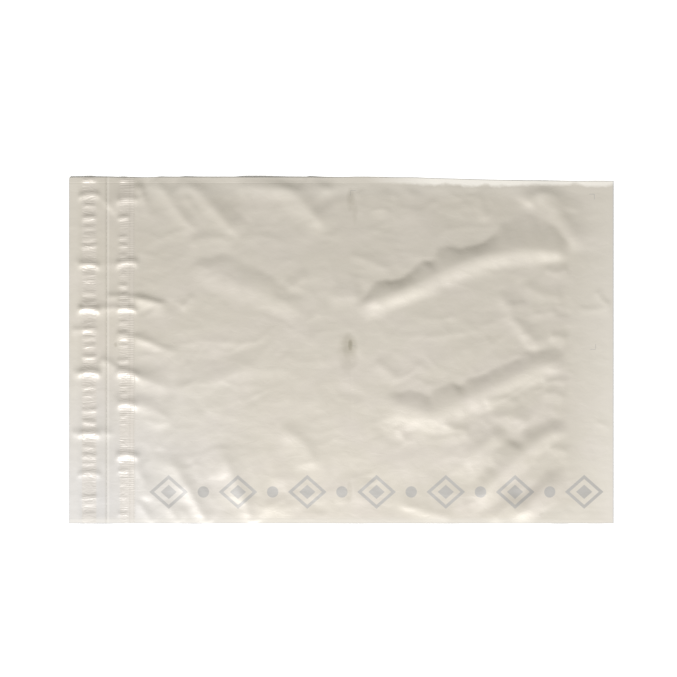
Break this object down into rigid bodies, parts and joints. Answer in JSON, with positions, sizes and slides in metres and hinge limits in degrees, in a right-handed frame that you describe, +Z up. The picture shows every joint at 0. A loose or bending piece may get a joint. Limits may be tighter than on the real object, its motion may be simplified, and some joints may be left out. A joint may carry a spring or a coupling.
{
  "type": "poly mailer bag",
  "caption": "Flat film mailing bag with side welds, a long flap with a tear line, and glue bands under peel-off liners.",
  "frame": {"origin": "middle of the bag's footprint, on the surface it lies on", "axes": "+X along the bag from the flap's free edge to the bottom fold, +Y across the bag, +Z up out of the label side"},
  "size_m": [0.48, 0.305, 0.0072],
  "materials": {
    "film": "pearly satin",
    "glue": "tacky, clear amber",
    "liner": "smooth silicone"
  },
  "bodies": {
    "root": {"film_bag": "film", "shipping_glue_band": "glue", "shipping_glue_liner": "liner", "return_glue_band": "glue", "return_glue_liner": "liner"}
  },
  "joints": []
}
